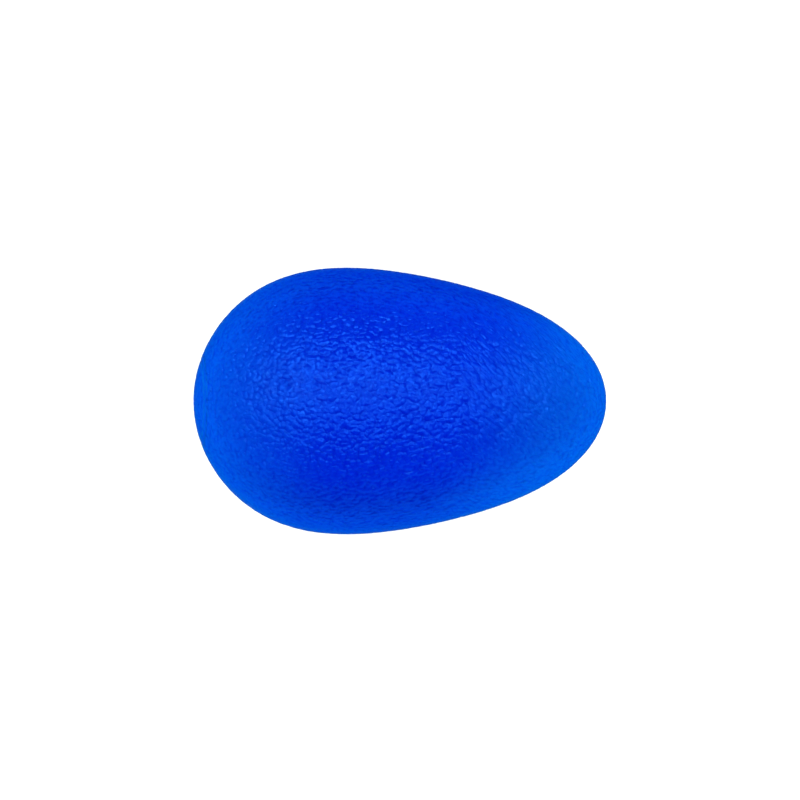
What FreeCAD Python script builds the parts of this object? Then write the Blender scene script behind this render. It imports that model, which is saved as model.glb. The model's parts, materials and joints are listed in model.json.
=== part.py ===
"""Egg-shaped squeeze ball: a grained elastomer skin filled with soft gel, closed by a plug at its blunt end.

The ball lies on its side, as it rests on a table. Lengths are in millimetres. In the row frame, the origin is
the centre of the small flat on which the ball rests, +Z is up, and +X points from the blunt end towards the
tip. The egg's own axis lies in the XZ plane, with the tip a little lower.

Each piece is drawn upright first: the egg's axis is Z, its blunt pole is at 0 and its tip is at EGG_LENGTH. It
is laid down last.
"""

import FreeCAD
import Part
import math
import os
from FreeCAD import Placement, Rotation, Vector

# The egg, a body of revolution.
EGG_LENGTH = 63.5
EGG_DIAMETER = 40.7

# Its outline is an ellipse whose radius is changed by these shares, each nearer to the poles than the last.
POINTEDNESS = 0.237
FULLNESS = 0.168
TIP_TAPER = 0.082
POLE_ROUNDING = 0.095

# Skin.
SKIN_WALL = 2.2

# Fill port at the blunt pole: a stepped bore through a land where the wall is thicker.
PORT_DIAMETER = 8.4
LAND_THICKNESS = 1.8
SEAT_RIM_DEPTH = 1.1

# Plug: a flush head in the seat, a stem in the port and a barb behind the land.
HEAD_DIAMETER = 12.0
BARB_OVERHANG = 1.1
BARB_HEIGHT = 1.2
BARB_LEAD_IN = 1.4
PLUG_CLEARANCE = 0.12

# Ring of glue round the plug's head, a little lower than the skin.
SEAL_WIDTH = 0.8
SEAL_DISH = 0.15

# The gel stays this far from the plug, which moves.
GEL_CLEARANCE = 0.3

# How far the resting side gives under the ball's own weight.
REST_SAG = 0.5

# How finely the outline is drawn, and how finely it is searched for its widest place.
OUTLINE_SPANS = 36
SEARCH_SPANS = 2000

# A small step along the outline, in radians, which gives its direction.
SMALL_ANGLE = 1e-4

OUT_DIR = "parts"

UP = Vector(0, 0, 1)


def relative_radius(sine):
    """Return the outline's radius before scaling, where sine runs from -1 at the blunt pole to 1 at the tip."""
    change = -POINTEDNESS * sine + FULLNESS * sine**2 + TIP_TAPER * sine**3 - POLE_ROUNDING * sine**4
    return math.sqrt(max(0.0, 1 - sine**2)) * (1 + change)


def outline_angles(spans):
    """Return angles from the blunt pole to the tip, evenly spaced."""
    return [math.pi * (step / spans - 0.5) for step in range(spans + 1)]


WIDEST = max(relative_radius(math.sin(angle)) for angle in outline_angles(SEARCH_SPANS))


def outline_point(angle):
    """Return the point of the egg's outline at an angle."""
    radius = EGG_DIAMETER / 2 * relative_radius(math.sin(angle)) / WIDEST
    return Vector(radius, 0, EGG_LENGTH / 2 * (1 + math.sin(angle)))


def inset_point(angle, inset):
    """Return the point that lies inset inwards of the outline, square to it."""
    along = outline_point(angle + SMALL_ANGLE) - outline_point(angle - SMALL_ANGLE)
    inwards = Vector(-along.z, 0, along.x).normalize()
    return outline_point(angle) + inwards * inset


def outline_curve(inset):
    """Return the egg's outline as a smooth edge from pole to pole, moved inwards by inset."""
    inner = [inset_point(angle, inset) for angle in outline_angles(OUTLINE_SPANS)[1:-1]]
    points = [Vector(0, 0, inset)] + inner + [Vector(0, 0, EGG_LENGTH - inset)]
    curve = Part.BSplineCurve()
    curve.interpolate(Points=points, InitialTangent=Vector(1, 0, 0), FinalTangent=Vector(-1, 0, 0))
    return curve.toShape()


def egg(inset=0.0):
    """Return the upright egg as a solid, its whole surface moved inwards by inset."""
    outline = outline_curve(inset)
    axis = Part.makeLine(Vector(0, 0, EGG_LENGTH - inset), Vector(0, 0, inset))
    return Part.Face(Part.Wire([outline, axis])).revolve(Vector(0, 0, 0), UP, 360)


def disc(diameter, low, high):
    """Return a round disc or rod on the egg's axis, between two heights."""
    return Part.makeCylinder(diameter / 2, high - low, Vector(0, 0, low), UP)


def depth_at(diameter):
    """Return how far above the blunt pole the egg's surface first reaches a diameter."""
    wall = Part.makeLine(Vector(diameter / 2, 0, 0), Vector(diameter / 2, 0, EGG_LENGTH / 2))
    crossing = outline_curve(0).distToShape(wall)[1][0][0]
    return crossing.z


# Heights on the egg's axis that the skin, plug, seal and gel share.
SEAT_DIAMETER = HEAD_DIAMETER + 2 * SEAL_WIDTH
SEAT_LEVEL = depth_at(SEAT_DIAMETER) + SEAT_RIM_DEPTH
LAND_LEVEL = SEAT_LEVEL + LAND_THICKNESS
BARB_DIAMETER = PORT_DIAMETER + 2 * BARB_OVERHANG
BARB_START = LAND_LEVEL + PLUG_CLEARANCE
BARB_END = BARB_START + BARB_HEIGHT + BARB_LEAD_IN


def resting_placement():
    """Return the placement that lays the upright egg down, balanced on the origin.

    The ball comes to rest where its surface is nearest to its centre of mass, so that point faces down.
    """
    balance = Vector(0, 0, egg().CenterOfMass.z)
    nearest = outline_curve(0).distToShape(Part.Vertex(balance))[1][0][0]
    tilt = math.degrees(math.atan2(nearest.z - balance.z, nearest.x))
    turn = Rotation(Vector(0, 1, 0), 90 + tilt)
    lowered = Placement(-turn.multVec(nearest) - UP * REST_SAG, turn)
    faces = above(0).common(laid(egg(), lowered)).Faces
    flat = min(faces, key=lambda face: face.CenterOfMass.z)
    return Placement(Vector(-flat.CenterOfMass.x, 0, 0), Rotation()).multiply(lowered)


def above(level):
    """Return a block that holds everything above a level of the row frame."""
    reach = EGG_LENGTH + EGG_DIAMETER
    return Part.makeBox(2 * reach, 2 * reach, reach, Vector(-reach, -reach, level))


def laid(shape, placement):
    """Return a copy of an upright shape, laid down."""
    return shape.transformed(placement.toMatrix(), True)


def make_cavity(placement):
    """Return the space inside the skin, laid down: the wall keeps its thickness on the flat and at the port."""
    inside = egg(SKIN_WALL).cut(disc(EGG_DIAMETER, 0, LAND_LEVEL))
    return laid(inside, placement).common(above(SKIN_WALL))


def make_skin(placement):
    """Return the envelope, with its resting flat, its cavity and its stepped port."""
    port = disc(PORT_DIAMETER, 0, LAND_LEVEL)
    seat = disc(SEAT_DIAMETER, 0, SEAT_LEVEL)
    outside = laid(egg().cut(port).cut(seat), placement).common(above(0))
    return outside.cut(make_cavity(placement))


def make_gel_core(placement):
    """Return the gel that fills the skin, open where the plug's barb reaches in."""
    room = disc(BARB_DIAMETER + 2 * GEL_CLEARANCE, 0, BARB_END + GEL_CLEARANCE)
    return make_cavity(placement).cut(laid(room, placement))


def make_fill_plug(placement):
    """Return the plug: its head follows the egg's surface, and its barb has a tapered lead-in."""
    head = disc(HEAD_DIAMETER, 0, SEAT_LEVEL - PLUG_CLEARANCE)
    stem = disc(PORT_DIAMETER - 2 * PLUG_CLEARANCE, 0, BARB_END)
    barb = disc(BARB_DIAMETER, BARB_START, BARB_START + BARB_HEIGHT)
    lead_in = Part.makeCone(
        BARB_DIAMETER / 2,
        PORT_DIAMETER / 2 - PLUG_CLEARANCE,
        BARB_LEAD_IN,
        Vector(0, 0, BARB_START + BARB_HEIGHT),
        UP,
    )
    plug = head.fuse([stem, barb, lead_in]).removeSplitter()
    return laid(plug.common(egg()), placement)


def make_seal_ring(placement):
    """Return the ring of glue that fills the groove between the plug's head and its seat."""
    filled = disc(SEAT_DIAMETER - 2 * PLUG_CLEARANCE, 0, SEAT_LEVEL - PLUG_CLEARANCE)
    ring = filled.cut(disc(HEAD_DIAMETER, 0, SEAT_LEVEL))
    return laid(ring.common(egg(SEAL_DISH)), placement)


def main():
    """Write each piece, laid down, as a STEP file of its own."""
    os.makedirs(OUT_DIR, exist_ok=True)
    placement = resting_placement()
    pieces = {
        "skin": make_skin(placement),
        "gel_core": make_gel_core(placement),
        "fill_plug": make_fill_plug(placement),
        "seal_ring": make_seal_ring(placement),
    }
    for name, shape in pieces.items():
        shape.exportStep(f"{OUT_DIR}/{name}.step")
    axis = placement.Rotation.multVec(UP)
    tip = placement.multVec(Vector(0, 0, EGG_LENGTH))
    print("egg axis", [round(value, 6) for value in axis], "tip", [round(value, 3) for value in tip])


main()
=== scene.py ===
"""Looks of the egg-shaped squeeze ball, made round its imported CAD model.

Lengths are in metres and places are in the CAD model's frame, except where a name ends in _mm. The egg's
own axis runs from its blunt pole to its tip, and a place on the egg is given along and across that axis.
"""

from __future__ import annotations

import json
import logging
import math
from dataclasses import dataclass
from enum import Enum

import bmesh
import bpy
from mathutils import Matrix, Vector


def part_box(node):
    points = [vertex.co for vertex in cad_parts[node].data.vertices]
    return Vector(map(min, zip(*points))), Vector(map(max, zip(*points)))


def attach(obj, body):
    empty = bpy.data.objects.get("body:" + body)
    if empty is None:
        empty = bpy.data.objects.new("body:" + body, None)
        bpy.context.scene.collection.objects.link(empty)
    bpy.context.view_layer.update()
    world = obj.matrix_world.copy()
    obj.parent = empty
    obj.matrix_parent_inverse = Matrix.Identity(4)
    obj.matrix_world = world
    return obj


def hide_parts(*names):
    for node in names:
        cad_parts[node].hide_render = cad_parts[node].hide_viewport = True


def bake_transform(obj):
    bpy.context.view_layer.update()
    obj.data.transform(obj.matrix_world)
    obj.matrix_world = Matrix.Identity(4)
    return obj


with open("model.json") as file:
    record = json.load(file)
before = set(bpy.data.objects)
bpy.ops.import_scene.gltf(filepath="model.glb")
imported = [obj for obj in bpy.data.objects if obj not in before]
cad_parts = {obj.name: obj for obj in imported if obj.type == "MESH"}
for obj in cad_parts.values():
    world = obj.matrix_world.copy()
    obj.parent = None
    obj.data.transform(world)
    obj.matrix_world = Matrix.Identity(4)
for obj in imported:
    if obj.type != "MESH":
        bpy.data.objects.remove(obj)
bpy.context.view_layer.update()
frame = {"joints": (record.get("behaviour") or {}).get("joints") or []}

LOG = logging.getLogger("squeeze_ball")
MM = 0.001
MOULDED = "moulded"
GRAIN_POINT = "grain_point"

Colour = tuple[float, float, float, float]
Triple = tuple[float, float, float]
Profile = list[tuple[float, float]]


# --- Node trees ------------------------------------------------------------------------------------------


class Value:
    """A socket that takes part in Python arithmetic, by adding Math nodes to its tree."""

    def __init__(self, graph: Graph, socket: bpy.types.NodeSocket) -> None:
        """Hold a socket and the graph that it belongs to."""
        self.graph = graph
        self.socket = socket

    def __add__(self, other: Number) -> Value:
        """Return the sum."""
        return self.graph.math("ADD", self, other)

    def __radd__(self, other: Number) -> Value:
        """Return the sum, reflected."""
        return self.graph.math("ADD", other, self)

    def __sub__(self, other: Number) -> Value:
        """Return the difference."""
        return self.graph.math("SUBTRACT", self, other)

    def __rsub__(self, other: Number) -> Value:
        """Return the difference, reflected."""
        return self.graph.math("SUBTRACT", other, self)

    def __mul__(self, other: Number) -> Value:
        """Return the product."""
        return self.graph.math("MULTIPLY", self, other)

    def __rmul__(self, other: Number) -> Value:
        """Return the product, reflected."""
        return self.graph.math("MULTIPLY", other, self)

    def __truediv__(self, other: Number) -> Value:
        """Return the quotient."""
        return self.graph.math("DIVIDE", self, other)

    def __rtruediv__(self, other: Number) -> Value:
        """Return the quotient, reflected."""
        return self.graph.math("DIVIDE", other, self)


Number = Value | float


class Graph:
    """Adds nodes to one node tree."""

    def __init__(self, tree: bpy.types.NodeTree) -> None:
        """Hold the tree."""
        self.tree = tree

    def node(self, kind: str, settings: dict | None = None, sockets: dict | None = None) -> bpy.types.Node:
        """Add a node.

        Args:
            kind: the node's type.
            settings: the node's own properties, which are set first.
            sockets: its input sockets, by name or number, each with a plain value or a Value to link.

        Returns:
            The node.
        """
        node = self.tree.nodes.new(kind)
        for name, setting in (settings or {}).items():
            setattr(node, name, setting)
        for key, content in (sockets or {}).items():
            if isinstance(content, Value):
                self.tree.links.new(content.socket, node.inputs[key])
            else:
                node.inputs[key].default_value = content
        return node

    def value(
        self, kind: str, settings: dict | None = None, sockets: dict | None = None, output: str | int = 0
    ) -> Value:
        """Add a node and return one of its outputs. The arguments are those of node."""
        return Value(self, self.node(kind, settings, sockets).outputs[output])

    def math(self, operation: str, *terms: Number) -> Value:
        """Return the result of a Math node."""
        return self.value("ShaderNodeMath", {"operation": operation}, dict(enumerate(terms)))

    def vector_math(self, operation: str, *terms: Value | Triple) -> Value:
        """Return the vector result of a Vector Math node."""
        return self.value("ShaderNodeVectorMath", {"operation": operation}, dict(enumerate(terms)))

    def scaled(self, vector: Value, factor: Number) -> Value:
        """Return a vector times a number."""
        sockets = {"Vector": vector, "Scale": factor}
        return self.value("ShaderNodeVectorMath", {"operation": "SCALE"}, sockets)

    def combined(self, x: Number, y: Number, z: Number) -> Value:
        """Return a vector made of three numbers."""
        return self.value("ShaderNodeCombineXYZ", None, {"X": x, "Y": y, "Z": z})

    def separated(self, vector: Value) -> tuple[Value, ...]:
        """Return a vector's three numbers."""
        node = self.node("ShaderNodeSeparateXYZ", None, {0: vector})
        return tuple(Value(self, output) for output in node.outputs)

    def smooth_step(self, value: Value, low: Number, high: Number) -> Value:
        """Return 0 where value is at low, 1 where it is at high, and a smooth change between them."""
        sockets = {"Value": value, "From Min": low, "From Max": high}
        return self.value("ShaderNodeMapRange", {"interpolation_type": "SMOOTHSTEP"}, sockets, "Result")

    def noise(self, point: Value, scale: float, detail: float = 2.0, output: int = 0) -> Value:
        """Return a noise from 0 to 1 that has about scale features to each unit of point."""
        sockets = {"Vector": point, "Scale": scale, "Detail": detail}
        return self.value("ShaderNodeTexNoise", None, sockets, output)

    def mix_colour(self, factor: Number, first: Value | Colour, second: Value | Colour) -> Value:
        """Return a blend of two colours."""
        sockets = {0: factor, 6: first, 7: second}
        return self.value("ShaderNodeMix", {"data_type": "RGBA"}, sockets, 2)

    def bump(self, height: Value, distance: float, strength: float = 1.0) -> Value:
        """Return the normal of a surface with a relief of height times distance."""
        sockets = {"Height": height, "Strength": strength, "Distance": distance}
        return self.value("ShaderNodeBump", None, sockets)

    def attribute(self, name: str, output: str) -> Value:
        """Return a shader tree's reading of a piece's attribute."""
        return self.value("ShaderNodeAttribute", {"attribute_name": name}, None, output)


@dataclass(frozen=True)
class Fade:
    """A smooth change that is 0 where a value is at start, and most where it is at end."""

    start: float
    end: float
    most: float = 1.0

    def at(self, graph: Graph, value: Value) -> Value:
        """Return how much of the change a value has."""
        step = graph.smooth_step(value, self.start, self.end)
        return step if self.most == 1.0 else step * self.most


# --- The egg's form --------------------------------------------------------------------------------------


@dataclass(frozen=True)
class EggForm:
    """The egg's outline, and how it lies in the CAD model's frame."""

    length: float
    girth: float
    tilt: float
    blunt_pole: Vector
    pointedness: float = 0.237
    fullness: float = 0.168
    tip_taper: float = 0.082
    pole_rounding: float = 0.095

    SAMPLES = 720
    FITTING_ROUNDS = 8
    SLOPE_STEP = 1e-4

    def change(self, sine: Number) -> Number:
        """Return the outline's radius over an ellipse's, where sine runs from -1 (blunt) to 1 (tip).

        Args:
            sine: the sine of the angle from the middle, a number or a Value.

        Returns:
            The ratio, of the same kind.
        """
        square = sine * sine
        cubic = square * sine * self.tip_taper
        widened = 1 + square * self.fullness + cubic
        return widened - sine * self.pointedness - square * square * self.pole_rounding

    def relative_radius(self, angle: float) -> float:
        """Return the outline's radius before scaling, at an angle from -90 to 90 degrees, in radians."""
        return math.cos(angle) * self.change(math.sin(angle))

    def angles(self, count: int) -> list[float]:
        """Return angles from the blunt pole to the tip, evenly spaced."""
        return [math.pi * (step / count - 0.5) for step in range(count + 1)]

    @property
    def radius_scale(self) -> float:
        """The radius where the relative radius is 1."""
        return self.girth / 2 / max(self.relative_radius(angle) for angle in self.angles(self.SAMPLES))

    def outline(self, count: int, inset: float = 0.0) -> Profile:
        """Return the outline as (radius, distance from the blunt pole) points.

        Args:
            count: the number of spans.
            inset: how far inwards of the surface the points lie.

        Returns:
            Points from the blunt pole to the tip.
        """
        scale = self.radius_scale
        points = []
        for angle in self.angles(count):
            before = angle - self.SLOPE_STEP
            after = angle + self.SLOPE_STEP
            radius = scale * self.relative_radius(angle)
            along = self.length / 2 * (1 + math.sin(angle))
            slope_radius = scale * (self.relative_radius(after) - self.relative_radius(before))
            slope_along = self.length / 2 * (math.sin(after) - math.sin(before))
            size = math.hypot(slope_radius, slope_along)
            inset_radius = radius - inset * slope_along / size
            points.append((max(0.0, inset_radius), along + inset * slope_radius / size))
        points[0] = (0.0, inset)
        points[-1] = (0.0, self.length - inset)
        return points

    def depth_at(self, radius: float) -> float:
        """Return how far from the blunt pole the surface first reaches a radius.

        Args:
            radius: the distance from the egg's axis.

        Returns:
            The distance along the axis.
        """
        outline = self.outline(self.SAMPLES)
        for (near, low), (far, high) in zip(outline, outline[1:]):
            if near <= radius <= far:
                return low + (high - low) * (radius - near) / (far - near)
        raise ValueError(f"the egg is never {radius} m in radius")

    def matrix(self) -> Matrix:
        """Return the matrix that puts a shape drawn along +X from the blunt pole in its place."""
        return Matrix.Translation(self.blunt_pole) @ Matrix.Rotation(self.tilt, 4, "Y")

    @classmethod
    def from_frame(cls) -> EggForm:
        """Fit the egg to the CAD model.

        Returns:
            The egg that fills the box of the skin and the plug, with its axis along the joint's.
        """
        low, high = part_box("skin")
        low_end, high_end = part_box("fill_plug")
        low = Vector((min(low[0], low_end[0]), low[1], low[2]))
        high = Vector(high)
        axis = Vector(frame["joints"][0]["axis"]).normalized()
        tilt = math.atan2(-axis.z, axis.x)
        girth = high.y - low.y
        length = high.x - low.x
        for _ in range(cls.FITTING_ROUNDS):
            egg = cls(length, girth, tilt, Vector((0, 0, 0)))
            reach_low, reach_high, reach_up = egg.reaches()
            length *= (high.x - low.x) / (reach_high - reach_low)
        return cls(length, girth, tilt, Vector((low.x - reach_low, 0, high.z - reach_up)))

    def reaches(self) -> tuple[float, float, float]:
        """Measure how far the tilted egg reaches.

        Returns:
            Its lowest X, highest X and highest Z, from its blunt pole.
        """
        cosine = math.cos(self.tilt)
        sine = math.sin(self.tilt)
        outline = self.outline(self.SAMPLES)
        low = min(along * cosine - radius * sine for radius, along in outline)
        high = max(along * cosine + radius * sine for radius, along in outline)
        up = max(radius * cosine - along * sine for radius, along in outline)
        return low, high, up


# --- Grain -----------------------------------------------------------------------------------------------


@dataclass(frozen=True)
class LeatherGrain:
    """The fine leather grain of the mould, as a height of about 0 in the valleys to 1 on the crests.

    Its point is a place on the undeformed egg in millimetres: along the axis from the blunt pole, across it,
    and up.
    """

    length_mm: float
    pebble_mm: float = 0.68
    wrinkle_mm: float = 0.53
    stretch_at_blunt_end: float = 0.95
    stretch_at_tip: float = 1.5
    twist_start: float = 0.6
    twist_per_mm: float = -0.033
    wander_mm: float = 0.4
    wander_scale: float = 0.42
    wander_detail: float = 3.0
    pebble_share: float = 0.55
    pebble_fall: float = 1.7
    smoothness: float = 0.35
    randomness: float = 0.95

    def height(self, graph: Graph, point: Value) -> Value:
        """Return the grain's height at a point of the egg.

        Args:
            graph: the graph of a Geometry Nodes tree or a material.
            point: the place on the egg.

        Returns:
            The height.
        """
        cell = self.stretched(graph, self.twisted(graph, self.wandered(graph, point)))
        pebble = graph.value(
            "ShaderNodeTexVoronoi",
            {"feature": "SMOOTH_F1"},
            {
                "Vector": cell,
                "Scale": 1 / self.pebble_mm,
                "Smoothness": self.smoothness,
                "Randomness": self.randomness,
            },
            "Distance",
        )
        dome = 1 - pebble * pebble * self.pebble_fall
        wrinkle = graph.noise(cell, 1 / self.wrinkle_mm, 1.0)
        return dome * self.pebble_share + wrinkle * (1 - self.pebble_share)

    def wandered(self, graph: Graph, point: Value) -> Value:
        """Return the point, moved a little so that the grain runs in no straight line.

        Args:
            graph: the graph.
            point: the place on the egg.

        Returns:
            The place to look the grain up at.
        """
        wander = graph.noise(point, self.wander_scale, self.wander_detail, output=1)
        centred = graph.vector_math("SUBTRACT", wander, (0.5, 0.5, 0.5))
        return graph.vector_math("ADD", point, graph.scaled(centred, 2 * self.wander_mm))

    def twisted(self, graph: Graph, place: Value) -> Value:
        """Return the place, turned about the egg's axis by more and more towards the tip.

        Args:
            graph: the graph.
            place: the place before the turn.

        Returns:
            The turned place.
        """
        along, _, _ = graph.separated(place)
        past = graph.math("MAXIMUM", along - self.twist_start * self.length_mm, 0.0)
        sockets = {"Vector": place, "Angle": past * self.twist_per_mm}
        return graph.value("ShaderNodeVectorRotate", {"rotation_type": "X_AXIS"}, sockets)

    def stretched(self, graph: Graph, place: Value) -> Value:
        """Return the place, with lengths along the axis that draw the grain out towards the tip.

        Args:
            graph: the graph.
            place: the place before the stretch.

        Returns:
            The stretched place.
        """
        along, across, up = graph.separated(place)
        growth = 1 - self.stretch_at_blunt_end / self.stretch_at_tip
        spaced = along * (1 - along * (growth / 2 / self.length_mm)) * (1 / self.stretch_at_blunt_end)
        return graph.combined(spaced, across, up)


# --- Meshes ----------------------------------------------------------------------------------------------


def add_object(name: str, mesh: bpy.types.Mesh) -> bpy.types.Object:
    """Link a new object with a mesh into the scene.

    Args:
        name: the object's name.
        mesh: its mesh.

    Returns:
        The object.
    """
    obj = bpy.data.objects.new(name, mesh)
    bpy.context.scene.collection.objects.link(obj)
    return obj


def plain_mesh(obj: bpy.types.Object) -> bpy.types.Mesh:
    """Return an object's mesh as its modifiers leave it.

    Args:
        obj: the object.

    Returns:
        A new, plain mesh.
    """
    bpy.context.view_layer.update()
    depsgraph = bpy.context.evaluated_depsgraph_get()
    evaluated = obj.evaluated_get(depsgraph)
    return bpy.data.meshes.new_from_object(evaluated, preserve_all_data_layers=True, depsgraph=depsgraph)


def lathe(
    name: str, profile: Profile, segments: int, place: Matrix, ring: bool = False
) -> bpy.types.Object:
    """Turn a profile about the egg's axis.

    Args:
        name: the piece's name.
        profile: (radius, distance from the blunt pole) points. A radius of 0 is a pole.
        segments: the number of faces round the axis.
        place: the matrix that puts the result in the CAD model's frame.
        ring: whether the profile is a loop that never meets the axis.

    Returns:
        The piece, closed. Its faces look outwards if the profile starts on the side of the blunt pole.
    """
    rings: list[list[int]] = []
    points: list[Vector] = []
    for radius, along in profile:
        if radius == 0.0:
            rings.append([len(points)])
            points.append(place @ Vector((along, 0, 0)))
            continue
        rings.append([len(points) + turn for turn in range(segments)])
        for turn in range(segments):
            angle = math.tau * turn / segments
            points.append(place @ Vector((along, radius * math.cos(angle), radius * math.sin(angle))))
    if ring:
        rings.append(rings[0])
    faces = []
    for first, second in zip(rings, rings[1:]):
        for turn in range(segments):
            after = (turn + 1) % segments
            if len(first) == 1:
                faces.append((first[0], second[after], second[turn]))
            elif len(second) == 1:
                faces.append((first[turn], first[after], second[0]))
            else:
                faces.append((first[turn], first[after], second[after], second[turn]))
    mesh = bpy.data.meshes.new(name)
    mesh.from_pydata([tuple(point) for point in points], [], faces)
    mesh.validate()
    return add_object(name, mesh)


def new_geometry_tree(
    name: str, inputs: dict[str, str]
) -> tuple[Graph, dict[str, Value], dict[str, str]]:
    """Start a Geometry Nodes tree.

    Args:
        name: the tree's name.
        inputs: each input's socket type by name. The geometry input comes first and needs no entry.

    Returns:
        The tree's graph, its inputs as values, and their identifiers by name.
    """
    tree = bpy.data.node_groups.new(name, "GeometryNodeTree")
    tree.interface.new_socket("Geometry", in_out="INPUT", socket_type="NodeSocketGeometry")
    tree.interface.new_socket("Geometry", in_out="OUTPUT", socket_type="NodeSocketGeometry")
    identifiers = {}
    for label, kind in inputs.items():
        identifiers[label] = tree.interface.new_socket(label, in_out="INPUT", socket_type=kind).identifier
    graph = Graph(tree)
    entry = graph.node("NodeGroupInput")
    values = {output.name: Value(graph, output) for output in entry.outputs if output.name}
    return graph, values, identifiers


def close_geometry_tree(graph: Graph, geometry: Value, material: Value) -> None:
    """End a tree in Realize Instances and Set Material.

    Args:
        graph: the tree's graph.
        geometry: what the tree has made.
        material: the material that it gets.
    """
    real = graph.value("GeometryNodeRealizeInstances", None, {0: geometry})
    dressed = graph.value("GeometryNodeSetMaterial", None, {"Geometry": real, "Material": material})
    graph.node("NodeGroupOutput", None, {0: dressed})


def apply_tree(
    obj: bpy.types.Object, graph: Graph, identifiers: dict[str, str], settings: dict
) -> None:
    """Run a Geometry Nodes tree on an object and keep the result as its plain mesh.

    Args:
        obj: the object.
        graph: the tree's graph.
        identifiers: the identifiers of the tree's inputs, by name.
        settings: what each input is set to, by name.
    """
    modifier = obj.modifiers.new(graph.tree.name, "NODES")
    modifier.node_group = graph.tree
    for label, setting in settings.items():
        modifier[identifiers[label]] = setting
    mesh = plain_mesh(obj)
    obj.modifiers.remove(modifier)
    mesh.name = obj.name
    obj.data = mesh


def store(graph: Graph, geometry: Value, name: str, kind: str, content: Value) -> Value:
    """Return a geometry with a point attribute stored on it.

    Args:
        graph: the tree's graph.
        geometry: the geometry.
        name: the attribute's name.
        kind: its data type.
        content: its value at each point.

    Returns:
        The geometry with the attribute.
    """
    sockets = {"Geometry": geometry, "Name": name, "Value": content}
    return graph.value("GeometryNodeStoreNamedAttribute", {"data_type": kind, "domain": "POINT"}, sockets)


@dataclass(frozen=True)
class MouldedSurface:
    """Geometry Nodes trees that make the egg's grained outer surface."""

    egg: EggForm
    grain: LeatherGrain
    worn_height: float = 1.2 * MM

    def body_tree(self) -> tuple[Graph, dict[str, str]]:
        """Return a tree that makes the egg's smooth closed surface, flat where it rests.

        Returns:
            The tree's graph, and the identifiers of its inputs by name.
        """
        graph, inputs, identifiers = new_geometry_tree(
            "egg_body",
            {
                "Length": "NodeSocketFloat",
                "Radius Scale": "NodeSocketFloat",
                "Tilt": "NodeSocketFloat",
                "Blunt Pole": "NodeSocketVector",
                "Faces Along": "NodeSocketInt",
                "Faces Across": "NodeSocketInt",
                "Flat Edge": "NodeSocketFloat",
                "Material": "NodeSocketMaterial",
            },
        )
        along = inputs["Faces Along"] + 1
        across = inputs["Faces Across"] + 1
        sockets = {"Size": (2, 2, 2), "Vertices X": along, "Vertices Y": across, "Vertices Z": across}
        cube = graph.value("GeometryNodeMeshCube", None, sockets)
        position = graph.value("GeometryNodeInputPosition")
        even = graph.vector_math("TANGENT", graph.scaled(position, math.pi / 4))
        sine, side, rise = graph.separated(graph.vector_math("NORMALIZE", even))
        radius = inputs["Radius Scale"] * self.egg.change(sine)
        upright = graph.combined(inputs["Length"] / 2 * (1 + sine), radius * side, radius * rise)
        body = graph.value("GeometryNodeSetPosition", None, {"Geometry": cube, "Position": upright})
        turn = graph.combined(0.0, inputs["Tilt"], 0.0)
        turn = graph.value("FunctionNodeEulerToRotation", None, {"Euler": turn})
        laid = graph.value(
            "GeometryNodeTransform",
            None,
            {"Geometry": body, "Translation": inputs["Blunt Pole"], "Rotation": turn},
        )
        x, y, z = graph.separated(graph.value("GeometryNodeInputPosition"))
        pressed = graph.math("SMOOTH_MAX", z, 0.0, inputs["Flat Edge"])
        rested = graph.value(
            "GeometryNodeSetPosition", None, {"Geometry": laid, "Position": graph.combined(x, y, pressed)}
        )
        marked = store(graph, rested, MOULDED, "FLOAT", graph.smooth_step(z, 0.0, self.worn_height))
        close_geometry_tree(graph, marked, inputs["Material"])
        return graph, identifiers

    def relief_tree(self) -> tuple[Graph, dict[str, str]]:
        """Return a tree that raises the grain where a surface was moulded, and marks it for the finish.

        Returns:
            The tree's graph, and the identifiers of its inputs by name.
        """
        graph, inputs, identifiers = new_geometry_tree(
            "moulded_grain",
            {
                "Relief": "NodeSocketFloat",
                "Tilt": "NodeSocketFloat",
                "Blunt Pole": "NodeSocketVector",
                "Material": "NodeSocketMaterial",
            },
        )
        position = graph.value("GeometryNodeInputPosition")
        offset = graph.vector_math("SUBTRACT", position, inputs["Blunt Pole"])
        sockets = {"Vector": offset, "Angle": 0.0 - inputs["Tilt"]}
        upright = graph.value("ShaderNodeVectorRotate", {"rotation_type": "Y_AXIS"}, sockets)
        point = graph.scaled(upright, 1 / MM)
        with_point = store(graph, inputs["Geometry"], GRAIN_POINT, "FLOAT_VECTOR", point)
        height = self.grain.height(graph, point)
        moulded = graph.value("GeometryNodeInputNamedAttribute", {"data_type": "FLOAT"}, {"Name": MOULDED})
        lift = (height - 0.5) * inputs["Relief"] * moulded
        raised = graph.scaled(graph.value("GeometryNodeInputNormal"), lift)
        grained = graph.value("GeometryNodeSetPosition", None, {"Geometry": with_point, "Offset": raised})
        close_geometry_tree(graph, grained, inputs["Material"])
        return graph, identifiers


# --- Finishes --------------------------------------------------------------------------------------------


def new_material(name: str) -> tuple[bpy.types.Material, Graph]:
    """Return a new, empty node material and its graph.

    Args:
        name: the material's name.

    Returns:
        The material and its graph.
    """
    material = bpy.data.materials.new(name)
    material.use_nodes = True
    material.node_tree.nodes.clear()
    return material, Graph(material.node_tree)


def end_material(graph: Graph, surface: Value) -> None:
    """Send a shader to the material's output."""
    graph.node("ShaderNodeOutputMaterial", None, {"Surface": surface})


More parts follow.
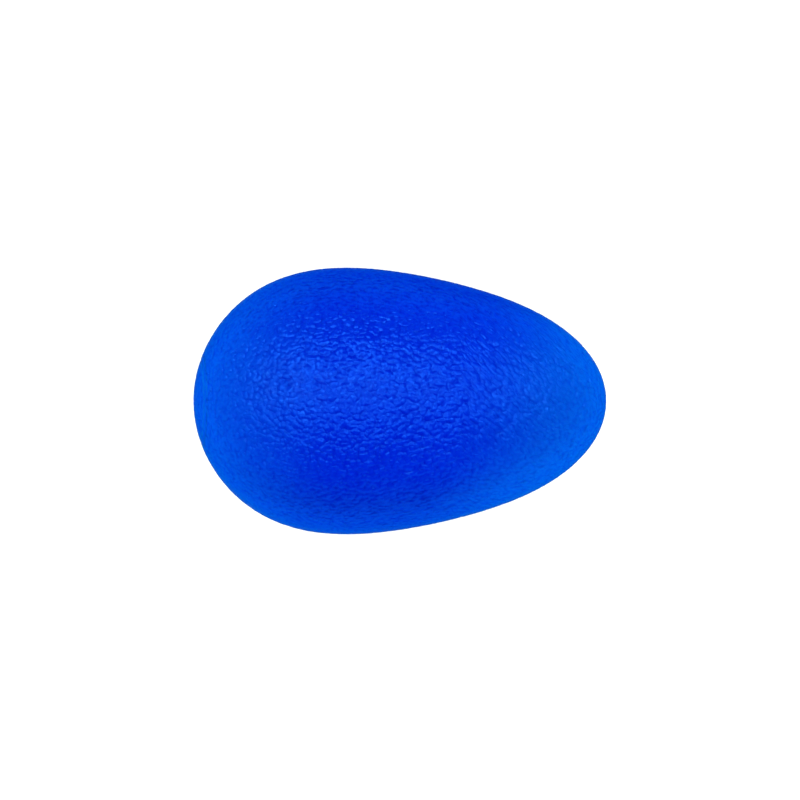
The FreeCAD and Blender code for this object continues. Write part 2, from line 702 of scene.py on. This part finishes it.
@dataclass(frozen=True)
class GelSkinFinish:
    """Soft translucent elastomer, deep blue where the gel behind it is thick, with painted light and shade
    in its colour.

    A painted azure glow of light let through thin gel goes towards the tip and the blunt end by the share of
    the egg's length, and low down by the sine of the height round the axis; painted shade goes down the
    flanks by that sine too, and into the valleys by the grain's height.
    """

    name: str = "translucent_blue_skin"
    deep: Colour = (0.0, 0.0112, 0.400, 1.0)
    # Painted shade: the colour down the flanks, darker than the top for the light that falls less on them.
    painted_flank_shade: Colour = (0.0, 0.0096, 0.292, 1.0)
    # Painted light: the azure glow of light let through thin gel, at the tip, the blunt end and low down.
    painted_glow_azure: Colour = (0.0, 0.0455, 0.385, 1.0)
    # Painted shade: what darkens the colour in the grain's valleys.
    painted_valley_shade: Triple = (0.3, 0.25, 0.85)
    gloss_colour: Colour = (0.016, 0.20, 0.90, 1.0)
    grazing_colour: Colour = (0.0, 0.12, 0.70, 1.0)
    skin_tint: Colour = (0.95, 0.99, 0.93, 1.0)
    scatter: Triple = (0.2, 0.6, 1.0)
    scatter_mm: float = 0.9
    body_roughness: float = 0.5
    index: float = 1.45
    gloss: float = 1.7
    most_gloss: float = 0.14
    roughness: float = 0.22
    roughness_change: float = 0.05
    roughness_scale: float = 0.9
    bump_mm: float = 0.26
    pore_scale: float = 3.2
    pore_share: float = 0.06
    # lean and tip_lean tilt the painted glow and the painted flank shade towards one side, as the light
    # falls.
    lean: float = 0.12
    tip_lean: float = 0.36
    cloud_scale: float = 0.09
    cloud_share: float = 0.08
    least_radius_mm: float = 0.01
    # Fades of the painted glows, the painted flank shade and the painted valley shade.
    to_painted_tip_glow: Fade = Fade(0.57, 0.92)
    to_painted_blunt_end_glow: Fade = Fade(0.33, -0.06, 0.78)
    to_painted_flank_shade: Fade = Fade(0.85, 0.5)
    to_painted_table_glow: Fade = Fade(0.60, -0.25, 0.9)
    to_underneath: Fade = Fade(0.45, 0.05, 0.65)
    to_painted_valley_shade: Fade = Fade(0.8, 0.2)
    valley_shade_on_top: float = 0.5
    valley_shade_loss_at_tip: float = 0.5
    valley_shade_loss_at_blunt_end: float = 0.35

    def colour(self, graph: Graph, point: Value, height: Value, length_mm: float) -> Value:
        """Return the colour: deep over the thick middle, with a painted azure glow at the ends and low down,
        and painted shade down the flanks.

        Args:
            graph: the material's graph.
            point: the place on the undeformed egg, as for the grain.
            height: the grain's height. Painted shade darkens the colour in its valleys.
            length_mm: the egg's length.

        Returns:
            The colour.
        """
        along, across, up = graph.separated(point)
        cloud = (graph.noise(point, self.cloud_scale) - 0.5) * self.cloud_share
        share = along / length_mm + cloud
        # Painted glow of light through the thin gel towards the tip and the blunt end.
        tip_glow = self.to_painted_tip_glow.at(graph, share - across * (self.tip_lean / length_mm))
        blunt_end_glow = self.to_painted_blunt_end_glow.at(graph, share)
        radius = graph.math("SQRT", across * across + up * up)
        radius = graph.math("MAXIMUM", radius, self.least_radius_mm)
        rise = (up + across * self.lean) / radius
        # Painted glow of light from the table, low down.
        painted_table_glow = self.to_painted_table_glow.at(graph, rise)
        # thin is the share of the painted azure glow.
        thin = 1 - (1 - tip_glow) * (1 - blunt_end_glow) * (1 - painted_table_glow)
        # Painted shade down the flanks, mixed into the deep body colour.
        thick = graph.mix_colour(self.to_painted_flank_shade.at(graph, rise), self.deep, self.painted_flank_shade)
        crest = graph.mix_colour(thin, thick, self.painted_glow_azure)
        # Painted shade in the grain's valleys, weaker on top, underneath and at the ends.
        painted_valley_shaded = graph.vector_math("MULTIPLY", crest, self.painted_valley_shade)
        valley_shade_amount = painted_table_glow * (1 - self.valley_shade_on_top) + self.valley_shade_on_top
        valley_shade_amount = valley_shade_amount * (1 - self.to_underneath.at(graph, rise)) * (1 - tip_glow * self.valley_shade_loss_at_tip)
        valley_shade_amount = valley_shade_amount * (1 - blunt_end_glow * self.valley_shade_loss_at_blunt_end)
        return graph.mix_colour(self.to_painted_valley_shade.at(graph, height) * valley_shade_amount, crest, painted_valley_shaded)

    def material(self, egg: EggForm, grain: LeatherGrain) -> bpy.types.Material:
        """Return the finish as a material.

        Args:
            egg: the egg's form.
            grain: its grain.

        Returns:
            The material: a subsurface body, and over it a gloss that grows at grazing angles.
        """
        material, graph = new_material(self.name)
        point = graph.attribute(GRAIN_POINT, "Vector")
        height = grain.height(graph, point)
        pores = graph.noise(point, self.pore_scale, 1.0) * self.pore_share
        relief = height * graph.attribute(MOULDED, "Fac") + pores
        bump = graph.bump(relief, self.bump_mm * MM)
        uneven = graph.noise(point, self.roughness_scale) * self.roughness_change
        body = graph.value(
            "ShaderNodeBsdfPrincipled",
            None,
            {
                "Base Color": self.colour(graph, point, height, egg.length / MM),
                "Roughness": self.body_roughness,
                "Specular IOR Level": 0.0,
                "Subsurface Weight": 1.0,
                "Subsurface Radius": self.scatter,
                "Subsurface Scale": self.scatter_mm * MM,
                "Coat Weight": 1.0,
                "Coat IOR": 1.0,
                "Coat Tint": self.skin_tint,
                "Normal": bump,
            },
        )
        gloss = graph.value(
            "ShaderNodeBsdfPrincipled",
            None,
            {
                "Base Color": self.gloss_colour,
                "Metallic": 1.0,
                "Specular Tint": self.grazing_colour,
                "Roughness": self.roughness + uneven,
                "Normal": bump,
            },
        )
        mirror = graph.value("ShaderNodeFresnel", None, {"IOR": self.index})
        share = graph.math("MINIMUM", mirror * self.gloss, self.most_gloss)
        end_material(graph, graph.value("ShaderNodeMixShader", None, {0: share, 1: body, 2: gloss}))
        return material


@dataclass(frozen=True)
class ClearGelFinish:
    """Soft clear blue gel with a smooth surface. Its scales are in features to the metre."""

    name: str = "clear_blue_gel"
    colour: Colour = (0.001, 0.03, 0.55, 1.0)
    thin_colour: Colour = (0.001, 0.07, 0.65, 1.0)
    roughness: float = 0.12
    roughness_change: float = 0.08
    specular: float = 0.3
    scatter: Triple = (0.2, 0.6, 1.0)
    scatter_mm: float = 1.5
    cloud_scale: float = 180.0
    ripple_scale: float = 900.0
    ripple_mm: float = 0.05
    ripple_strength: float = 0.3

    def material(self) -> bpy.types.Material:
        """Return the finish as a material.

        Returns:
            The material, cloudy and faintly rippled.
        """
        material, graph = new_material(self.name)
        place = graph.value("ShaderNodeTexCoord", None, None, "Object")
        cloud = graph.noise(place, self.cloud_scale, 3.0)
        ripple = graph.noise(place, self.ripple_scale)
        bump = graph.bump(ripple, self.ripple_mm * MM, self.ripple_strength)
        shader = graph.value(
            "ShaderNodeBsdfPrincipled",
            None,
            {
                "Base Color": graph.mix_colour(cloud, self.colour, self.thin_colour),
                "Roughness": self.roughness + cloud * self.roughness_change,
                "Specular IOR Level": self.specular,
                "Subsurface Weight": 1.0,
                "Subsurface Radius": self.scatter,
                "Subsurface Scale": self.scatter_mm * MM,
                "Normal": bump,
            },
        )
        end_material(graph, shader)
        return material


# --- Pieces ----------------------------------------------------------------------------------------------


class Seating(Enum):
    """What carries a piece."""

    BETWEEN = "the ball and the pressed end"
    PRESSED_END = "pressed_end"


@dataclass(frozen=True)
class PortSizes:
    """The stepped fill port, and the heights on the egg's axis that its pieces share."""

    egg: EggForm
    port_radius: float = 4.2 * MM
    head_radius: float = 6.0 * MM
    seal_width: float = 0.8 * MM
    seat_rim_depth: float = 1.1 * MM
    land_thickness: float = 1.8 * MM
    barb_overhang: float = 1.1 * MM
    barb_height: float = 1.2 * MM
    barb_lead_in: float = 1.4 * MM
    clearance: float = 0.12 * MM
    gel_clearance: float = 0.3 * MM
    land_edge: float = 0.97

    @property
    def seat_radius(self) -> float:
        """The radius of the recess for the head and its seal."""
        return self.head_radius + self.seal_width

    @property
    def seat_level(self) -> float:
        """How deep the recess is."""
        return self.egg.depth_at(self.seat_radius) + self.seat_rim_depth

    @property
    def land_level(self) -> float:
        """How deep the inner face of the land round the port is."""
        return self.seat_level + self.land_thickness

    @property
    def barb_end(self) -> float:
        """How deep the plug reaches."""
        return self.land_level + self.clearance + self.barb_height + self.barb_lead_in


@dataclass(frozen=True)
class SqueezeBall:
    """The whole ball: what all its pieces share."""

    egg: EggForm
    grain: LeatherGrain
    port: PortSizes
    surface: MouldedSurface
    wall: float = 2.2 * MM
    relief: float = 0.09 * MM
    around_plug: float = 1.0 * MM

    def shorten(self, piece: bpy.types.Object) -> None:
        """Bake a soft piece's place into its mesh.

        Args:
            piece: the skin or the gel, with its final mesh.
        """
        place = self.egg.matrix()
        plug_end = place @ Vector((self.port.barb_end + self.around_plug, 0, 0))
        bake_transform(piece)

    def add_grain(self, piece: bpy.types.Object, finish: bpy.types.Material) -> None:
        """Raise the grain on a piece where its moulded attribute is 1.

        Args:
            piece: a piece with that attribute.
            finish: the material that it gets.
        """
        graph, identifiers = self.surface.relief_tree()
        settings = {
            "Relief": self.relief,
            "Tilt": self.egg.tilt,
            "Blunt Pole": self.egg.blunt_pole,
            "Material": finish,
        }
        apply_tree(piece, graph, identifiers, settings)

    def finish_piece(self, piece: bpy.types.Object, node: str, slot: str, seating: Seating) -> None:
        """Give a piece its place among the CAD model's nodes and bodies.

        Args:
            piece: the finished piece.
            node: the CAD node that it stands for.
            slot: not used.
            seating: what carries it.
        """
        piece.data.shade_smooth()
        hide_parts(node)
        if seating is Seating.BETWEEN:
            self.shorten(piece)
        else:
            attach(piece, seating.value)
        LOG.info("%s rides on %s, %d faces", piece.name, seating.value, len(piece.data.polygons))


@dataclass(frozen=True)
class Envelope:
    """The grained skin: the egg's outer surface, hollow inside, with a stepped port at its blunt pole."""

    ball: SqueezeBall
    flat_edge: float = 0.35 * MM
    faces_along: int = 158
    faces_across: int = 110
    hollow_segments: int = 72
    hollow_spans: int = 40
    cut_overshoot: float = 1.0 * MM
    weld: float = 0.01 * MM

    def build(self) -> None:
        """Make the skin."""
        egg = self.ball.egg
        finish = GelSkinFinish().material(egg, self.ball.grain)
        skin = add_object("grained_skin", bpy.data.meshes.new("grained_skin"))
        graph, identifiers = self.ball.surface.body_tree()
        settings = {
            "Length": egg.length,
            "Radius Scale": egg.radius_scale,
            "Tilt": egg.tilt,
            "Blunt Pole": egg.blunt_pole,
            "Faces Along": self.faces_along,
            "Faces Across": self.faces_across,
            "Flat Edge": self.flat_edge,
            "Material": finish,
        }
        apply_tree(skin, graph, identifiers, settings)
        self.ball.add_grain(skin, finish)
        self.hollow_out(skin, finish)
        self.ball.finish_piece(skin, "skin", "skin", Seating.BETWEEN)

    def hollow_profile(self) -> Profile:
        """Return the outline of the stepped port and the cavity, from outside the blunt pole.

        Returns:
            The outline, which ends at the tip.
        """
        port = self.ball.port
        inner = self.ball.egg.outline(self.hollow_spans, self.ball.wall)
        cavity = [point for point in inner if point[1] > port.land_level]
        return [
            (0.0, -self.cut_overshoot),
            (port.seat_radius, -self.cut_overshoot),
            (port.seat_radius, port.seat_level),
            (port.port_radius, port.seat_level),
            (port.port_radius, port.land_level),
            (cavity[0][0] * port.land_edge, port.land_level),
            *cavity,
        ]

    def hollow_out(self, skin: bpy.types.Object, finish: bpy.types.Material) -> None:
        """Cut the cavity and the stepped port out of the skin.

        Args:
            skin: the grained skin, solid until now.
            finish: the material of the cut's faces.
        """
        cutter = lathe("cavity", self.hollow_profile(), self.hollow_segments, self.ball.egg.matrix())
        cutter.data.materials.append(finish)
        for vertex in cutter.data.vertices:
            vertex.co.z = max(vertex.co.z, self.ball.wall)
        cut = skin.modifiers.new("cavity", "BOOLEAN")
        cut.operation = "DIFFERENCE"
        cut.solver = "EXACT"
        cut.object = cutter
        mesh = plain_mesh(skin)
        skin.modifiers.remove(cut)
        skin.data = mesh
        bpy.data.objects.remove(cutter)
        self.weld_slivers(skin.data)

    def weld_slivers(self, mesh: bpy.types.Mesh) -> None:
        """Weld the slivers that the cut leaves along its rim.

        Args:
            mesh: the skin's mesh.
        """
        work = bmesh.new()
        work.from_mesh(mesh)
        many_sided = [face for face in work.faces if len(face.verts) > 4]
        bmesh.ops.triangulate(work, faces=many_sided)
        bmesh.ops.remove_doubles(work, verts=work.verts, dist=self.weld)
        bmesh.ops.dissolve_degenerate(work, edges=work.edges, dist=self.weld)
        work.to_mesh(mesh)
        work.free()


@dataclass(frozen=True)
class GelFilling:
    """The gel that fills the skin, with room for the plug's barb."""

    ball: SqueezeBall
    segments: int = 72
    spans: int = 40
    gap: float = 0.05 * MM

    def build(self) -> None:
        """Make the gel."""
        egg = self.ball.egg
        port = self.ball.port
        room_radius = port.port_radius + port.barb_overhang + port.gel_clearance
        room_end = port.barb_end + port.gel_clearance
        face = port.land_level + self.gap
        inset = self.ball.wall + self.gap
        inner = [point for point in egg.outline(self.spans, inset) if point[1] > face]
        face_edge = (inner[0][0] * port.land_edge, face)
        profile = [(0.0, room_end), (room_radius, room_end), (room_radius, face), face_edge, *inner]
        gel = lathe("gel_filling", profile, self.segments, egg.matrix())
        for vertex in gel.data.vertices:
            vertex.co.z = max(vertex.co.z, inset)
        gel.data.materials.append(ClearGelFinish().material())
        self.ball.finish_piece(gel, "gel_core", "gel", Seating.BETWEEN)


@dataclass(frozen=True)
class PortClosure:
    """The plug in the fill port and the ring of glue round its head."""

    ball: SqueezeBall
    segments: int = 112
    head_rings: int = 18
    edge_radius: float = 0.08 * MM
    edge_steps: int = 3
    seal_dish: float = 0.03 * MM
    seal_steps: int = 6
    hairline: float = 0.02 * MM

    def build(self) -> None:
        """Make the plug and its seal."""
        self.build_plug()
        self.build_seal()

    def head_profile(self) -> Profile:
        """Return the outline of the plug's head, which follows the egg and has a rounded edge.

        Returns:
            The outline, from the axis to the edge.
        """
        port = self.ball.port
        flat_radius = port.head_radius - self.edge_radius
        head = [(0.0, 0.0)]
        for step in range(1, self.head_rings + 1):
            radius = flat_radius * step / self.head_rings
            head.append((radius, self.ball.egg.depth_at(radius)))
        edge_level = head[-1][1]
        for step in range(1, self.edge_steps + 1):
            angle = math.pi / 2 * step / self.edge_steps
            rise = self.edge_radius * (1 - math.cos(angle))
            head.append((flat_radius + self.edge_radius * math.sin(angle), edge_level + rise))
        return head

    def shank_profile(self) -> Profile:
        """Return the outline of the plug under its head: the stem, and a barb with a tapered lead-in.

        Returns:
            The outline, from under the head's edge to the axis.
        """
        port = self.ball.port
        under = port.seat_level - port.clearance
        stem = port.port_radius - port.clearance
        barb = port.port_radius + port.barb_overhang
        barb_start = port.land_level + port.clearance
        return [
            (port.head_radius, under),
            (stem, under),
            (stem, barb_start),
            (barb, barb_start),
            (barb, barb_start + port.barb_height),
            (stem, port.barb_end),
            (0.0, port.barb_end),
        ]

    def build_plug(self) -> None:
        """Make the plug, grained on its head and smooth below."""
        egg = self.ball.egg
        profile = self.head_profile() + self.shank_profile()
        plug = lathe("port_plug", profile, self.segments, egg.matrix())
        moulded = plug.data.attributes.new(MOULDED, "FLOAT", "POINT")
        grained = 1 + (self.head_rings - 1) * self.segments
        count = len(plug.data.vertices)
        moulded.data.foreach_set("value", [float(index < grained) for index in range(count)])
        finish = GelSkinFinish(name="translucent_blue_plug").material(egg, self.ball.grain)
        self.ball.add_grain(plug, finish)
        self.ball.finish_piece(plug, "fill_plug", "plug", Seating.PRESSED_END)

    def build_seal(self) -> None:
        """Make the ring of glue, dished between the plug's head and the seat."""
        port = self.ball.port
        inner = port.head_radius
        outer = port.seat_radius - self.hairline
        bottom = port.seat_level - port.clearance
        profile = []
        for step in range(self.seal_steps + 1):
            share = step / self.seal_steps
            radius = inner + (outer - inner) * share
            dish = self.seal_dish * math.sin(math.pi * share)
            profile.append((radius, self.ball.egg.depth_at(radius) + dish))
        profile += [(outer, bottom), (inner, bottom)]
        seal = lathe("port_seal", profile, self.segments, self.ball.egg.matrix(), ring=True)
        finish = GelSkinFinish(name="clear_blue_glue", roughness=0.15)
        self.ball.add_grain(seal, finish.material(self.ball.egg, self.ball.grain))
        self.ball.finish_piece(seal, "seal_ring", "seal", Seating.PRESSED_END)


# --- Studio ----------------------------------------------------------------------------------------------


@dataclass(frozen=True)
class StripLight:
    """A long soft light parallel to the ball, at an angle from overhead towards +Y, in degrees."""

    name: str
    angle: float
    half_width: float
    radiance: float


@dataclass(frozen=True)
class Studio:
    """A plain white table, two long soft lights above it, a white surround, and the camera."""

    camera_place: Triple = (0.00195, 0.00015, 0.530)
    lens_mm: float = 150.25
    sensor_mm: float = 36.0
    table_size: float = 8.0
    table_colour: Colour = (0.9, 0.9, 0.9, 1.0)
    table_roughness: float = 0.7
    light_distance: float = 1.2
    light_length: float = 5.2
    surround: float = 2.2
    strips: tuple[StripLight, ...] = (
        StripLight("front_strip", -11.0, 8.0, 8.5),
        StripLight("rear_strip", 31.0, 6.0, 17.0),
    )

    def build(self) -> None:
        """Add the table, the lights and the camera."""
        bpy.context.scene.view_settings.view_transform = "Standard"
        self.add_table()
        self.add_surround()
        for strip in self.strips:
            self.add_light(strip)
        self.add_camera()

    def add_table(self) -> None:
        """Add the pale table top."""
        half = self.table_size / 2
        corners = [(-half, -half, 0), (half, -half, 0), (half, half, 0), (-half, half, 0)]
        mesh = bpy.data.meshes.new("table_top")
        mesh.from_pydata(corners, [], [(0, 1, 2, 3)])
        material, graph = new_material("white_table")
        sockets = {
            "Base Color": self.table_colour,
            "Roughness": self.table_roughness,
            "Specular IOR Level": 0.0,
        }
        end_material(graph, graph.value("ShaderNodeBsdfPrincipled", None, sockets))
        mesh.materials.append(material)
        add_object("table_top", mesh)

    def add_surround(self) -> None:
        """Add an even white surround that lights the ball and the table but doesn't show in the gloss."""
        world = bpy.data.worlds.new("white_surround")
        bpy.context.scene.world = world
        world.use_nodes = True
        world.node_tree.nodes.clear()
        world.cycles_visibility.glossy = False
        graph = Graph(world.node_tree)
        sockets = {"Color": (1.0, 1.0, 1.0, 1.0), "Strength": self.surround}
        surround = graph.value("ShaderNodeBackground", None, sockets)
        graph.node("ShaderNodeOutputWorld", None, {"Surface": surround})

    def add_light(self, strip: StripLight) -> None:
        """Add a long soft light that faces the ball.

        Args:
            strip: its name, place, width and radiance.
        """
        data = bpy.data.lights.new(strip.name, "AREA")
        data.shape = "RECTANGLE"
        data.size = self.light_length
        data.size_y = 2 * self.light_distance * math.tan(math.radians(strip.half_width))
        data.energy = strip.radiance * math.pi * data.size * data.size_y
        light = bpy.data.objects.new(strip.name, data)
        angle = math.radians(strip.angle)
        across = self.light_distance * math.sin(angle)
        light.location = (0, across, self.light_distance * math.cos(angle))
        light.rotation_euler = (-angle, 0, 0)
        light.visible_diffuse = False
        bpy.context.scene.collection.objects.link(light)

    def add_camera(self) -> None:
        """Add the camera, straight above the ball."""
        data = bpy.data.cameras.new("camera")
        data.lens = self.lens_mm
        data.sensor_width = self.sensor_mm
        camera = bpy.data.objects.new("camera", data)
        camera.location = self.camera_place
        bpy.context.scene.collection.objects.link(camera)
        bpy.context.scene.camera = camera


def main() -> None:
    """Build the pieces and the studio."""
    logging.basicConfig(level=logging.INFO, format="%(message)s")
    egg = EggForm.from_frame()
    LOG.info("egg %.2f mm long and %.2f mm across", egg.length / MM, egg.girth / MM)
    grain = LeatherGrain(length_mm=egg.length / MM)
    ball = SqueezeBall(egg, grain, PortSizes(egg), MouldedSurface(egg, grain))
    Envelope(ball).build()
    GelFilling(ball).build()
    PortClosure(ball).build()
    Studio().build()


if __name__ == "__main__":
    main()
